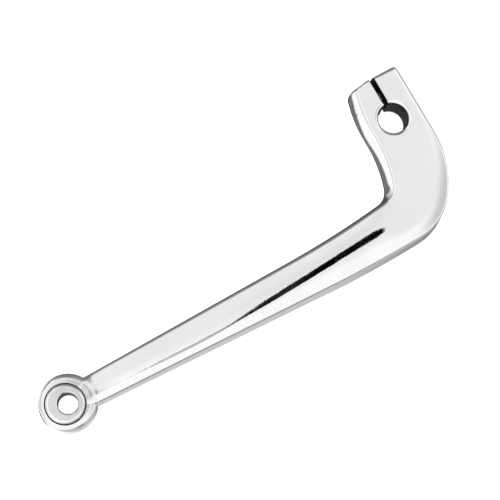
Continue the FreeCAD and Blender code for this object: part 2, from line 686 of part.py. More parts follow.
def make_washer():
    """Split spring washer between the screw's head and the counterbore's floor."""
    body = doc.addObject("PartDesign::Body", "lock_washer")
    sketch = new_sketch(body, "WasherRing")
    circle(sketch, None, None, "Sizes.washer_width", 0, 0, size("washer_width") / 2)
    circle(sketch, None, None, "Sizes.washer_bore", 0, 0, size("washer_bore") / 2)
    ring = feature(body, "Pad", "Ring", sketch, Reversed=True)
    ring.setExpression("Length", "Sizes.washer_thick")
    doc.recompute()

    split = new_sketch(body, "WasherSplit", "XZ_Plane")
    half, lean = size("washer_gap") / 2, size("washer_thick") / 2
    below, above = "-Sizes.washer_thick * 1.5", "Sizes.washer_thick / 2"
    pinned_polygon(split, [
        ("-Sizes.washer_gap / 2 - Sizes.washer_thick", below, -half - 2 * lean, -3 * lean),
        ("Sizes.washer_gap / 2 - Sizes.washer_thick", below, half - 2 * lean, -3 * lean),
        ("Sizes.washer_gap / 2 + Sizes.washer_thick", above, half + 2 * lean, lean),
        ("-Sizes.washer_gap / 2 + Sizes.washer_thick", above, -half + 2 * lean, lean),
    ])
    body.Tip = cut(body, "Split", split, ring, Type=1)
    screw_place(body)
    return body


def main():
    bodies = [make_lever(), make_screw(), make_washer()]
    doc.recompute()
    for item in doc.Objects:
        if {"Invalid", "Error"} & set(item.State):
            raise RuntimeError(f"{item.Label} did not build: {item.State}")
    for body in bodies:
        if body.Shape.isNull() or not body.Shape.isValid() or len(body.Shape.Solids) != 1:
            raise RuntimeError(f"{body.Label} is not one valid solid")
    os.makedirs("parts", exist_ok=True)
    for body in bodies:
        body.Shape.exportStep(f"parts/{body.Label}.step")
        print(body.Label, "volume", round(body.Shape.Volume, 1), "mm3")


main()
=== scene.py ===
"""Looks of a foot gear-shift lever for a motorcycle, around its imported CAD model.

The lever's skin is rebuilt here as a fine, smooth mesh, because mirror chrome shows every facet of a coarse
one. Lengths below are in millimetres and follow the CAD's own sizes; meshes are made in metres.
"""
import math

import bmesh
import bpy
import numpy as np
from mathutils import Matrix, Vector
from mathutils.geometry import delaunay_2d_cdt


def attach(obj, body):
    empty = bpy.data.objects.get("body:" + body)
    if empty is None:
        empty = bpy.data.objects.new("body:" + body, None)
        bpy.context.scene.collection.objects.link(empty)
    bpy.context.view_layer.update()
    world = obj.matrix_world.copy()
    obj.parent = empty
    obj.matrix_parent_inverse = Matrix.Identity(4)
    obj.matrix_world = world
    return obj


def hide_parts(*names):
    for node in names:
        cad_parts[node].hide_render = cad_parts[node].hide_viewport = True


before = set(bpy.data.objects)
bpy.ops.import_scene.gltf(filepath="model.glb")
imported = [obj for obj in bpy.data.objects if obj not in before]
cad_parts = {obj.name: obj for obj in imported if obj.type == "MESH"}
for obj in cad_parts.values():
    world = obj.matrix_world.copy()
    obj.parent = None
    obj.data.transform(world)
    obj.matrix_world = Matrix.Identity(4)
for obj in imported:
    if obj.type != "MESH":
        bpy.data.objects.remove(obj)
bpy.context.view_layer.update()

MM = 0.001

# Sizes of the part, as in the CAD. The bore's centre is the origin and the back lies at height 0.
HOLE_SPACING = 216.5  # from the bore to the peg's hole, along X
CLAMP_ANGLE = 78.0    # heading of the clamp, from its end to the bend
ARM_ANGLE = 13.6      # slope of the arm, from the bend down to the eye
THICK = 17.5

# The clamp: distances of its flanks and its end from the bore's centre, and its inner flank's flat stretch.
CLAMP_OUTER = 16.1
CLAMP_INNER = 15.3
CLAMP_END = 24.2
FLAT_START = 0.0
FLAT_STOP = 4.0
EAR_ARC = 70.0        # radius of the inner flank below the flat
CORNER_ROUND = 3.0
EAR_ROUND = 5.0

# The bend: radii of its outer side, then of its inner side, both from the clamp to the arm. Each side becomes
# straight at an X of its own, and the outer one starts a distance up the clamp.
BEND_START = 16.7
BEND_SHOULDER = 51.0
BEND_CROWN = 31.3
BEND_BELLY = 530.0
BELLY_STOP = 81.5
BEND_ENTRY = 70.0
BEND_INNER = 8.5
BEND_HOLLOW = 500.0
HOLLOW_STOP = 86.0

# The arm: half its width at the eye, the angle by which each edge opens, and where it ends inside the eye.
ARM_HALF = 7.95
ARM_TAPER = 1.69
ARM_STOP = 5.0

# The splined bore, the saw cut and the screw's hole, which crosses the clamp.
BORE = 15.1
SPLINE_ROOT = 16.0
SPLINES = 36
RIM_CHAMFER = 0.6
SLIT = 2.4
SLIT_SHIFT = 0.45
SCREW_DROP = 13.7     # from the bore towards the clamp's end
SCREW_LEVEL = 8.6
SCREW_TAPPED = 6.4
SCREW_CLEAR = 6.8
SCREW_SEAT = 8.0      # from the clamp's middle line to the washer's seat
SEAT_WIDTH = 10.6

# The eye's disc, the boss on it and the peg's hole.
EYE_WIDTH = 29.8
EYE_DROP = 0.75       # the disc and the boss lie this far along -Y from the peg's hole
EYE_SHIFT = 0.4       # the disc also lies this far towards the bore
EYE_RIM = 11.2
EYE_VALLEY = 10.4     # floor of the groove round the boss's foot
RIM_ROUND = 3.4
BOSS_WIDTH = 20.4
BOSS_ROUND = 1.4
BOSS_HEIGHT = 13.5
BOSS_SHIFT = 1.15     # the boss lies this far past the peg's hole
PEG_HOLE = 10.3
PEG_CHAMFER = 0.9

# The screw and its washer.
THREAD = 6.3
SCREW_LENGTH = 22.2
HEAD_WIDTH = 9.5
HEAD_HEIGHT = 6.35
HEAD_ROUND = 0.5
TIP_CHAMFER = 0.7
HEX_SOCKET = 4.76
HEX_DEPTH = 3.2
WASHER_THICK = 1.6

# Finish of the forging, finer than the CAD shows.
STEP = 0.7              # spacing of points round the outline
MESH = 0.8              # spacing of points on the front
FIT = 0.04              # the skin keeps this far inside the CAD's outline
CLAMP_DRAFT = 3.0       # lean of the clamp's flanks, in degrees
INNER_DRAFT = 9.0       # lean of the arm's inner flank
OUTER_DRAFT = 5.0       # lean of the arm's outer flank
BELLY_DRAFT = 12.0      # extra lean at the top of the clamp's inner flank, which starts upright
FOOT_ROUND = 0.8        # rounding where the flanks meet the back
FRONT_ROUND = 2.0       # rounding where the flanks meet the front
INNER_ROUND = 1.4       # the same along the clamp's inner flank
END_ROUND = 1.5         # the same at the clamp's end face
ARM_FALL = 6.5          # how far the crest falls from the bend to the eye
ARM_CROWN = 1.9         # how far the front falls from its crest to its edges
BEND_CROWN_FALL = 2.0   # the same at the bend's outer side
CLAMP_CROWN = 0.8       # the same at the clamp's outer side
INNER_FALL = 0.02       # the same at the clamp's inner side, which is nearly flat
CROWN_POWER = 4.0       # the clamp's crown falls late, with this power of the place across
BEND_POWER_LOSS = 1.0   # how much lower that power is in the bend
ARM_POWER_LOSS = 0.8    # and how much lower still on the arm
INNER_POWER = 2.2       # the power on the inner side
NECK_ROUND = 4.6        # corners of the arm's end, which is hidden in the eye
NECK_BLEND = 9.0        # radius by which the eye's face falls towards the arm
NECK_SOFT = 0.25        # softness of the meeting of the two
SHARP_ANGLE = 28.0      # faces that meet at more degrees than this keep a crease

# Where the front and the flanks change, as distances along the front's middle line from the bend's start.
RIDGE_SHIFTS = [        # how the crest moves sideways: share of the half width, start, stop and softness
    (-0.2, 26, 50, 6),
    (0.75, 50, 154, 8),
    (-0.2, 154, 212, 8),
]
BEND_BLEND = (-25, 20)  # the clamp's crown becomes the bend's
ARM_BLEND = (20, 15)    # the bend's crown becomes the arm's; the stop counts from the bend's end
DRAFT_BLEND = (-5, 20)  # the clamp's flanks become the arm's; the stop counts from the bend's end
CREST_FALL = (5, 168)   # where the crest falls towards the eye; both count from the bend's end
CREST_SOFT = 3.0        # softness of that fall's two ends
INNER_BLEND = (-8, 22)  # the clamp's inner side becomes the arm's, straight down the arm from the bend's end

# Bore, groove and screw in detail.
PAST = 1.0              # how far a cutter reaches past the surface that it cuts
BORE_ROUND = 2.1        # polished rounding of the bore's front rim
BORE_LEAN = 30.0        # that rounding starts at this angle off the wall
BORE_RELIEF = 0.25      # the wall opens by this just under the rim
SPLINE_FLANK = 0.36     # from a groove's middle to its edge, as a share of the pitch
SPLINE_STOP = 0.2       # the grooves end this far under the rim
SPLINE_RUNOUT = 0.6     # and fade out over this height
SLIT_BREAK = 0.3        # bevel along the saw cut's front edges
TAPPED_BREAK = 0.5      # bevel at the tapped hole's mouth
FOOT_GROOVE = 0.5       # width of the groove round the boss's foot
EYE_LEAN = 0.5          # how far the eye's side leans in under its rounding
PITCH = 0.907           # of the screw's thread, with its depth
THREAD_DEPTH = 0.5
THREAD_CREST = 1.15     # the thread's zigzag is stretched by this and cut flat at its crest
KNURLS = 60             # ridges round the screw's head, with their depth
KNURL_DEPTH = 0.14
HEAD_BEVEL = 0.3        # bevel at the head's foot

POLISHED, HOLE_WALL_SHADE, GROOVE_SHADE = range(3)     # the lever's finishes; the last two are near-black painted shade, in the holes and in the groove round the boss


def way(degrees):
    """Unit vector in plan at an angle from X."""
    return np.array([math.cos(math.radians(degrees)), math.sin(math.radians(degrees))])


def left_of(heading):
    return np.array([-heading[1], heading[0]])


ALONG = way(CLAMP_ANGLE)                    # up the clamp, from its end to the bend
INWARD = -left_of(ALONG)                    # across the clamp, from outer to inner flank
TO_BEND = way(180 - ARM_ANGLE)              # up the arm, from the eye to the bend
OUTWARD = -left_of(TO_BEND)                 # across the arm, from inner to outer flank
EYE = np.array([HOLE_SPACING - EYE_SHIFT, -EYE_DROP])


# ---------------------------------------------------------------- plan outline, walked clockwise

def line_run(start, stop):
    """Points along a line, without its last, each with its outward normal."""
    count = max(1, math.ceil(np.linalg.norm(stop - start) / STEP))
    heading = (stop - start) / np.linalg.norm(stop - start)
    return [(start + (stop - start) * i / count, left_of(heading)) for i in range(count)]


def arc_run(centre, start, stop, convex=True):
    """Points along an arc, without its last, each with its outward normal."""
    radius = np.linalg.norm(start - centre)
    first = math.atan2(*(start - centre)[::-1])
    sweep = math.atan2(*(stop - centre)[::-1]) - first
    sweep = (sweep + math.pi) % (2 * math.pi) - math.pi
    count = max(1, math.ceil(abs(sweep) * radius / STEP), math.ceil(abs(sweep) / math.radians(4)))
    run = []
    for i in range(count):
        out = way(math.degrees(first + sweep * i / count))
        run.append((centre + out * radius, out if convex else -out))
    return run


def corner_run(tip, way_in, way_out, radius=CORNER_ROUND):
    """Rounded corner; returns where it starts, where it stops and its points."""
    turn = math.acos(float(np.clip(way_in @ way_out, -1, 1)))
    reach = radius * math.tan(turn / 2)
    start, stop = tip - way_in * reach, tip + way_out * reach
    return start, stop, arc_run(start - left_of(way_in) * radius, start, stop)


def turned(vector, degrees):
    """Vector in plan turned to the left."""
    c, s = way(degrees)
    return np.array([c * vector[0] - s * vector[1], s * vector[0] + c * vector[1]])


def nested_centre(centre_a, radius_a, centre_b, radius_b, radius):
    """Centre of the circle that touches two bigger ones from inside, to the right from a to b."""
    near, far = radius_a - radius, radius_b - radius
    apart = centre_b - centre_a
    gap = np.linalg.norm(apart)
    reach = (near ** 2 - far ** 2 + gap ** 2) / (2 * gap)
    return centre_a + apart / gap * reach - left_of(apart / gap) * math.sqrt(near ** 2 - reach ** 2)


def touching(centre, inner_centre, radius):
    """Point where a circle is touched by a smaller one inside it."""
    return centre + (inner_centre - centre) * (radius / np.linalg.norm(inner_centre - centre))


def plan_outline():
    """Outline of clamp, bend and arm at the back, as points and outward normals."""
    lower_way = turned(TO_BEND, -ARM_TAPER)
    upper_way = turned(TO_BEND, ARM_TAPER)
    neck = ARM_HALF + ARM_STOP * math.tan(math.radians(ARM_TAPER))
    arm_end = EYE + TO_BEND * ARM_STOP
    neck_outer, neck_inner = arm_end + OUTWARD * neck, arm_end - OUTWARD * neck

    outer_start = -ALONG * CLAMP_END - INWARD * CLAMP_OUTER
    shoulder_start = ALONG * BEND_START - INWARD * CLAMP_OUTER
    shoulder = shoulder_start + INWARD * BEND_SHOULDER
    lower_start = neck_outer + lower_way * (neck_outer[0] - BELLY_STOP) / -lower_way[0]
    belly = lower_start + left_of(lower_way) * BEND_BELLY
    crown = nested_centre(shoulder, BEND_SHOULDER, belly, BEND_BELLY, BEND_CROWN)
    crown_start = touching(shoulder, crown, BEND_SHOULDER)
    crown_stop = touching(belly, crown, BEND_BELLY)

    flat_stop = ALONG * FLAT_STOP + INWARD * CLAMP_INNER
    flat_start = -ALONG * FLAT_START + INWARD * CLAMP_INNER
    entry = flat_stop + INWARD * BEND_ENTRY
    upper_stop = neck_inner + upper_way * (neck_inner[0] - HOLLOW_STOP) / -upper_way[0]
    hollow = upper_stop + left_of(upper_way) * BEND_HOLLOW
    inner = nested_centre(entry, BEND_ENTRY, hollow, BEND_HOLLOW, BEND_INNER)
    hollow_stop = touching(hollow, inner, BEND_HOLLOW)
    entry_start = touching(entry, inner, BEND_ENTRY)
    ear = flat_start - INWARD * EAR_ARC
    ear_drop = CLAMP_END - FLAT_START
    ear_tip = ear + INWARD * math.sqrt(EAR_ARC ** 2 - ear_drop ** 2) - ALONG * ear_drop
    ear_way = left_of(ear - ear_tip) / EAR_ARC

    outer_corner = corner_run(outer_start, -INWARD, ALONG)
    ear_corner = corner_run(ear_tip, ear_way, -INWARD, EAR_ROUND)
    neck_corner = corner_run(neck_outer, -lower_way, -OUTWARD, NECK_ROUND)
    inner_corner = corner_run(neck_inner, -OUTWARD, upper_way, NECK_ROUND)

    runs = [
        line_run(outer_corner[1], shoulder_start),
        arc_run(shoulder, shoulder_start, crown_start),
        arc_run(crown, crown_start, crown_stop),
        arc_run(belly, crown_stop, lower_start),
        line_run(lower_start, neck_corner[0]),
        neck_corner[2],
        line_run(neck_corner[1], inner_corner[0]),
        inner_corner[2],
        line_run(inner_corner[1], upper_stop),
        arc_run(hollow, upper_stop, hollow_stop, convex=False),
        arc_run(inner, hollow_stop, entry_start, convex=False),
        arc_run(entry, entry_start, flat_stop, convex=False),
        line_run(flat_stop, flat_start),
        arc_run(ear, flat_start, ear_corner[0]),
        ear_corner[2],
        line_run(ear_corner[1], outer_corner[0]),
        outer_corner[2],
    ]
    points = np.array([point for run in runs for point, _ in run])
    normals = np.array([normal for run in runs for _, normal in run])
    return points - normals * FIT, normals


BASE, NORMALS = plan_outline()


# ---------------------------------------------------------------- front surface

def smooth_step(value, low, high):
    """From 0 at low to 1 at high, with no crease at either."""
    t = np.clip((value - low) / (high - low), 0, 1)
    return t * t * t * (t * (6 * t - 15) + 10)


def soft_ramp(value, low, high, blend):
    """Straight ramp from 0 to 1 whose two ends are rounded over a blend length."""
    def softened(x):
        return blend * np.logaddexp(0, x / blend)
    return (softened(value - low) - softened(value - high)) / (high - low)


class CentreLine:
    """Line along the middle of the front: up the clamp, round the bend and down the arm."""

    RADIUS = 27.0

    def __init__(self):
        reach = (EYE[0] * TO_BEND[1] - EYE[1] * TO_BEND[0]) / (ALONG[0] * TO_BEND[1] - ALONG[1] * TO_BEND[0])
        self.tip = ALONG * reach
        self.turn = math.acos(float(ALONG @ -TO_BEND))
        back = self.RADIUS * math.tan(self.turn / 2)
        self.bend_in = self.tip - ALONG * back
        self.bend_out = self.tip - TO_BEND * back
        self.centre = self.bend_in + INWARD * self.RADIUS
        self.arc = self.turn * self.RADIUS
        self.spread()

    def at(self, points):
        """Distance along the line and outward distance from it, for an array of points."""
        from_centre = points - self.centre
        clamp_s = (points - self.bend_in) @ ALONG
        arm_s = self.arc - (points - self.bend_out) @ TO_BEND
        angle = np.arctan2(from_centre @ ALONG, -(from_centre @ INWARD))
        s = np.where(clamp_s < 0, clamp_s, np.where(arm_s > self.arc, arm_s, angle * self.RADIUS))
        outward = np.where(
            clamp_s < 0, -(points - self.bend_in) @ INWARD,
            np.where(arm_s > self.arc, (points - self.bend_out) @ OUTWARD,
                     np.linalg.norm(from_centre, axis=1) - self.RADIUS))
        return s, outward

    def spread(self):
        """Half widths on both sides, as smooth tables over the distance along the line."""
        s, outward = self.at(BASE)
        margin, soft = 4, 12
        self.table_s = np.arange(s.min() + margin, s.max() - margin, 0.5)
        self.tables = []
        for side in (1, -1):
            mine = (outward * side > 0) & (s > self.table_s[0] - 2) & (s < self.table_s[-1] + 2)
            order = np.argsort(s[mine])
            width = np.interp(self.table_s, s[mine][order], (outward * side)[mine][order])
            kernel = np.hanning(2 * soft + 1)
            padded = np.concatenate([np.full(soft, width[0]), width, np.full(soft, width[-1])])
            self.tables.append(np.convolve(padded, kernel / kernel.sum(), "valid"))

    def across_share(self, points):
        """Distance along, and place across: 0 on the line, 1 at the edge."""
        s, outward = self.at(points)
        outer = np.interp(s, self.table_s, self.tables[0])
        inner = np.interp(s, self.table_s, self.tables[1])
        return s, np.where(outward > 0, outward / outer, outward / inner)


LINE = CentreLine()


def front_height(points):
    """Height of the crowned front over plan points."""
    s, share = LINE.across_share(points)
    ridge = sum(shift * soft_ramp(s, *stretch) for shift, *stretch in RIDGE_SHIFTS)
    share = (share - ridge) / np.where(share > ridge, 1 - ridge, 1 + ridge)
    bend = smooth_step(s, *BEND_BLEND)
    arm = smooth_step(s, ARM_BLEND[0], LINE.arc + ARM_BLEND[1])
    inner_arm = smooth_step((LINE.bend_out - points) @ TO_BEND, *INNER_BLEND)
    crest = THICK - ARM_FALL * soft_ramp(s, LINE.arc + CREST_FALL[0], LINE.arc + CREST_FALL[1], CREST_SOFT)
    reach = np.linalg.norm(points - EYE, axis=1) - EYE_WIDTH / 2 + RIM_ROUND
    collar = EYE_RIM - np.clip(reach, 0, None) ** 2 / (2 * NECK_BLEND)
    outer = CLAMP_CROWN + (BEND_CROWN_FALL - CLAMP_CROWN) * bend + (ARM_CROWN - BEND_CROWN_FALL) * arm
    inner = INNER_FALL + (ARM_CROWN - INNER_FALL) * inner_arm
    power = CROWN_POWER - BEND_POWER_LOSS * bend - ARM_POWER_LOSS * arm
    aside = np.abs(share)
    crowned = crest - np.where(share > 0, outer * aside ** power, inner * aside ** INNER_POWER)
    return np.logaddexp(crowned / NECK_SOFT, collar / NECK_SOFT) * NECK_SOFT


def rings():
    """Rings of points from the back plane up the flanks and round onto the front."""
    s, outward = LINE.at(BASE)
    arm = smooth_step(s, DRAFT_BLEND[0], LINE.arc + DRAFT_BLEND[1])
    arm_draft = np.where(outward > 0, OUTER_DRAFT, INNER_DRAFT)
    foot = np.radians(CLAMP_DRAFT + (arm_draft - CLAMP_DRAFT) * arm)
    belly = np.radians(BELLY_DRAFT) * (1 - arm) * smooth_step(-outward, 2, 10)
    draft = foot + belly
    foot -= belly * CLAMP_DRAFT / BELLY_DRAFT
    at_end = np.clip(NORMALS @ -ALONG, 0, 1) * (s < 0)
    end_round = END_ROUND + (FRONT_ROUND - END_ROUND) * smooth_step(outward, -2, 8)
    side_round = np.where(outward > 0, FRONT_ROUND, INNER_ROUND + (FRONT_ROUND - INNER_ROUND) * arm)
    rounding = side_round + (end_round - side_round) * at_end

    # The rounding touches the front where both have the same tilt, which a few rounds find.
    inset = np.full(len(BASE), 3.0)
    feel = 0.3
    for _ in range(6):
        edge = BASE - NORMALS * inset[:, None]
        level = front_height(edge)
        slope = (front_height(edge - NORMALS * feel) - level) / feel
        tilt = np.arctan(np.clip(slope, -0.5, 0.9))
        centre_z = level - rounding * np.cos(tilt)
        top_z = centre_z + rounding * np.sin(draft)
        centre_x = top_z * (np.tan(foot) + np.tan(draft)) / 2 + rounding * np.cos(draft)
        inset = centre_x - rounding * np.sin(tilt)

    def flank(part):
        """Inset and height of the flank at a part of its height; its lean grows from foot to draft."""
        z = top_z * part
        return z * (np.tan(foot) + (np.tan(draft) - np.tan(foot)) * part / 2), z

    start = FOOT_ROUND / top_z
    start_x = flank(start)[0]
    made = []
    for angle in np.radians([-90, -70, -50, -30, -12]):
        z = np.full(len(BASE), FOOT_ROUND * (1 + math.sin(angle)))
        made.append((start_x + FOOT_ROUND * (1 - math.cos(angle)), z))
    for share in np.linspace(0, 1, 7)[:-1]:
        made.append(flank(start + (1 - start) * share))
    for part in np.linspace(0, 1, 9):
        angle = draft + (math.pi / 2 - tilt - draft) * part
        made.append((centre_x - rounding * np.cos(angle), centre_z + rounding * np.sin(angle)))
    return [np.column_stack([BASE - NORMALS * x[:, None], z]) for x, z in made]


def inside(points, loop):
    """Which points lie inside a closed loop."""
    result = np.zeros(len(points), dtype=bool)
    x, y = points[:, 0], points[:, 1]
    for (ax, ay), (bx, by) in zip(loop, np.roll(loop, -1, axis=0)):
        if ay != by:
            crosses = (ay > y) != (by > y)
            result ^= crosses & (x < (bx - ax) * (y - ay) / (by - ay) + ax)
    return result


def clear_of(points, loop, gap):
    """Which points keep a gap from every point of a loop."""
    keep = np.ones(len(points), dtype=bool)
    for corner in loop:
        keep &= np.sum((points - corner) ** 2, axis=1) > gap ** 2
    return keep


def front_points(loop):
    """Triangular lattice of plan points inside the loop."""
    low, high = loop.min(axis=0), loop.max(axis=0)
    rows = []
    for i, y in enumerate(np.arange(low[1], high[1], MESH * math.sqrt(3) / 2)):
        x = np.arange(low[0] + MESH / 2 * (i % 2), high[0], MESH)
        rows.append(np.column_stack([x, np.full(len(x), y)]))
    points = np.vstack(rows)
    points = points[inside(points, loop)]
    return points[clear_of(points, loop, MESH * 0.7)]


def mesh_object(name, vertices, faces, finish=None):
    """Mesh from points in millimetres; finish is the number of a lever's finish."""
    mesh = bpy.data.meshes.new(name)
    mesh.from_pydata([tuple(Vector(v) * MM) for v in vertices], [], faces)
    mesh.validate()
    if finish is not None:
        for material in LEVER_FINISHES:
            mesh.materials.append(material)
        mesh.polygons.foreach_set("material_index", [finish] * len(mesh.polygons))
    made = bpy.data.objects.new(name, mesh)
    bpy.context.collection.objects.link(made)
    return made


def tidy_mesh(made):
    """Merge points that meet, drop slivers and turn all faces outward."""
    bm = bmesh.new()
    bm.from_mesh(made.data)
    bmesh.ops.remove_doubles(bm, verts=bm.verts, dist=0.000002)
    bmesh.ops.dissolve_degenerate(bm, edges=bm.edges, dist=0.000002)
    bmesh.ops.recalc_face_normals(bm, faces=bm.faces)
    bm.to_mesh(made.data)
    bm.free()


def filled(loop, extra):
    """Triangles that fill a loop, using extra points inside it."""
    points = [Vector(p) for p in np.vstack([loop, extra])]
    count = len(loop)
    edges = [(i, (i + 1) % count) for i in range(count)]
    found = delaunay_2d_cdt(points, edges, [], 1, 1e-5)
    origin = [group[0] for group in found[3]]
    return [[origin[v] for v in face] for face in found[2]]


def make_skin():
    """Closed mesh of clamp, bend and arm, before the holes are cut."""
    levels = rings()
    count = len(BASE)
    top = levels[-1]
    inner = front_points(top[:, :2])
    lifted = np.column_stack([inner, front_height(inner)])
    vertices = np.vstack(levels + [lifted])
    faces = []
    last = (len(levels) - 1) * count
    for first in range(0, last, count):
        for i in range(count):
            j = (i + 1) % count
            faces.append((first + i, first + count + i, first + count + j, first + j))
    faces += [[last + v for v in face] for face in filled(top[:, :2], inner)]
    faces += filled(levels[0][:, :2], np.zeros((0, 2)))
    made = mesh_object("lever_skin", vertices, faces, POLISHED)
    tidy_mesh(made)
    return made


# ---------------------------------------------------------------- round pieces and cutters

def revolved(name, profile, centre, segments=192, finish=None):
    """Closed solid turned about an upright line; profile is (radius, height) from axis to axis."""
    vertices, faces = [], []
    rows = []
    for radius, height in profile:
        first = len(vertices)
        if radius < 1e-6:
            vertices.append((centre[0], centre[1], height))
            rows.append([first] * segments)
        else:
            for i in range(segments):
                x, y = centre + way(360 * i / segments) * radius
                vertices.append((x, y, height))
            rows.append(list(range(first, first + segments)))
    for here, there in zip(rows, rows[1:]):
        for i in range(segments):
            j = (i + 1) % segments
            face = [here[i], here[j], there[j], there[i]]
            faces.append([v for k, v in enumerate(face) if v != face[k - 1]])
    made = mesh_object(name, vertices, faces, finish)
    tidy_mesh(made)
    return made


def quarter(centre_r, centre_z, radius, start, stop, steps=10):
    """Arc of a profile between two angles in degrees."""
    return [(centre_r + radius * math.cos(math.radians(a)), centre_z + radius * math.sin(math.radians(a)))
            for a in np.linspace(start, stop, steps)]


def lathe_parts():
    """The eye's disc and its raised boss, which stands in a narrow, dull groove coloured near black as
    painted shade.
    """
    outside = EYE_WIDTH / 2 - FIT
    rim_r = outside - EYE_LEAN - RIM_ROUND
    boss_r = BOSS_WIDTH / 2 - FOOT_GROOVE
    disc = [(0, 0), (outside, 0), (outside - EYE_LEAN / 2, (EYE_RIM - RIM_ROUND) / 2)]
    disc += quarter(rim_r, EYE_RIM - RIM_ROUND, RIM_ROUND, 0, 84, 14)
    disc += [(rim_r - 0.2, EYE_RIM), (0, EYE_RIM)]
    boss = [(0, 1), (boss_r, 1), (boss_r, EYE_VALLEY + 0.4)]
    boss += quarter(boss_r - BOSS_ROUND, BOSS_HEIGHT - BOSS_ROUND, BOSS_ROUND, 0, 90, 12)
    boss += [(boss_r - BOSS_ROUND - 0.15, BOSS_HEIGHT), (0, BOSS_HEIGHT)]
    boss_centre = np.array([HOLE_SPACING + BOSS_SHIFT, -EYE_DROP])
    groove_r = BOSS_WIDTH / 2
    groove_top = groove_r + 0.5
    groove = [(0, EYE_VALLEY), (groove_r, EYE_VALLEY)]
    groove += [(groove_top, EYE_RIM + 0.8), (groove_top, THICK), (0, THICK)]
    return (
        revolved("eye_disc", disc, EYE, finish=POLISHED),
        # the groove's finish is near-black painted shade round the boss's foot
        revolved("foot_groove", groove, boss_centre, finish=GROOVE_SHADE),
        revolved("eye_boss", boss, boss_centre, finish=POLISHED),
    )


def spline_radius(angle, height):
    """Radius of the splined bore at an angle in degrees."""
    phase = (angle * SPLINES / 360) % 1
    groove = max(0.0, 1 - abs(phase - 0.5) / SPLINE_FLANK)
    depth = (SPLINE_ROOT - BORE) / 2
    from_back = max(0, height - RIM_CHAMFER)
    from_rim = max(0, THICK - BORE_ROUND - SPLINE_STOP - height)
    return BORE / 2 + depth * groove * (min(1, from_back) * min(1, from_rim / SPLINE_RUNOUT))


def barrel(name, rows, finish=None):
    """Closed solid through rings of points with flat ends; every ring has as many points."""
    count = len(rows[0])
    vertices = [point for row in rows for point in row]
    faces = [list(range(count)), list(range(len(vertices) - count, len(vertices)))]
    for first in range(0, len(vertices) - count, count):
        for i in range(count):
            j = (i + 1) % count
            faces.append((first + i, first + j, first + count + j, first + count + i))
    made = mesh_object(name, vertices, faces, finish)
    tidy_mesh(made)
    return made


def ring(height, count, radius_at):
    """Ring of points round the upright axis, at a radius that depends on the angle in degrees."""
    return [(*(way(360 * i / count) * radius_at(360 * i / count)), height) for i in range(count)]


def polish_above(made, height):
    """Give a cutter's faces above a height the polished finish."""
    for polygon in made.data.polygons:
        if polygon.center.z > height * MM:
            polygon.material_index = POLISHED


def bore_cutter():
    """Splined hole with a chamfer behind and a polished rounded rim in front."""
    segments = SPLINES * 10
    wall_top = THICK - BORE_ROUND / 2
    rows = []
    for height in [-PAST, 0, RIM_CHAMFER, *np.linspace(RIM_CHAMFER + 0.3, wall_top, 16)]:
        grown = max(0, RIM_CHAMFER - height)
        grown += BORE_RELIEF * smooth_step(height, wall_top - 1.5, wall_top)
        rows.append(ring(height, segments, lambda angle: spline_radius(angle, height) + grown))
    rim_centre = BORE / 2 + BORE_RELIEF + BORE_ROUND * math.cos(math.radians(BORE_LEAN))
    flare = quarter(rim_centre, THICK - BORE_ROUND, BORE_ROUND, 180 - BORE_LEAN, 108, 7)
    flare.append((flare[-1][0] + 3 * PAST, flare[-1][1] + PAST))
    rows += [ring(height, segments, lambda _: radius) for radius, height in flare[1:]]
    made = barrel("bore_cutter", rows, HOLE_WALL_SHADE)
    polish_above(made, wall_top)
    return made


def peg_cutter():
    """Plain hole with a chamfer behind and a polished rounding in front."""
    hole = PEG_HOLE / 2
    mouth = BOSS_HEIGHT - PEG_CHAMFER
    profile = [(0, -PAST), (hole + RIM_CHAMFER + PAST, -PAST), (hole, RIM_CHAMFER)]
    profile += quarter(hole + PEG_CHAMFER, mouth, PEG_CHAMFER, 180, 125, 6)
    profile += [(hole + PEG_CHAMFER + PAST, BOSS_HEIGHT + PAST), (0, BOSS_HEIGHT + PAST)]
    made = revolved("peg_cutter", profile, np.array([HOLE_SPACING, 0.0]), finish=HOLE_WALL_SHADE)
    polish_above(made, mouth)
    return made


def slit_cutter():
    """Saw cut with lightly broken front edges."""
    half = SLIT / 2
    spread = half + (PAST + SLIT_BREAK)
    section = [(-half, -PAST), (half, -PAST), (half, THICK - SLIT_BREAK), (spread, THICK + PAST),
               (-spread, THICK + PAST), (-half, THICK - SLIT_BREAK)]
    rows = [[(*(INWARD * (across - SLIT_SHIFT) - ALONG * distance), height) for across, height in section]
            for distance in (0, CLAMP_END + 5 * PAST)]
    return barrel("slit_cutter", rows, HOLE_WALL_SHADE)


# The screw and its hole are made upright, with the head up, and then laid across the clamp. Known fault: this
# frame is mirrored. It turns the faces of both inward, so the screw's thread is left-handed, and the hole's
# cutter leaves the ears solid. A second row of (0, 0, -1) would make the frame right-handed.
SCREW_AXIS = Vector((*-INWARD, 0))
SCREW_FRAME = Matrix(((*ALONG, 0), (0, 0, 1), SCREW_AXIS)).transposed().to_4x4()
SCREW_FRAME.translation = Vector((*(-ALONG * SCREW_DROP), SCREW_LEVEL)) * MM


def screw_cutter():
    """Tapped hole, clearance hole and counterbore; the screw's way out is +Z before it is placed."""
    tapped, clear, seat = SCREW_TAPPED / 2, SCREW_CLEAR / 2, SEAT_WIDTH / 2
    mouth = SCREW_LEVEL * math.tan(math.radians(CLAMP_DRAFT)) - CLAMP_INNER
    bevel_end = mouth + TAPPED_BREAK
    outside = 24.0        # well past the clamp's outer flank
    profile = [
        (0, mouth - PAST), (tapped + (PAST + TAPPED_BREAK), mouth - PAST), (tapped, bevel_end), (tapped, 0),
        (clear, 0.2), (clear, SCREW_SEAT), (seat, SCREW_SEAT), (seat, outside), (0, outside),
    ]
    made = revolved("screw_cutter", profile, np.zeros(2), 96, HOLE_WALL_SHADE)
    for polygon in made.data.polygons:
        if polygon.center.z < bevel_end * MM:
            polygon.material_index = POLISHED
    made.data.transform(SCREW_FRAME)
    return made


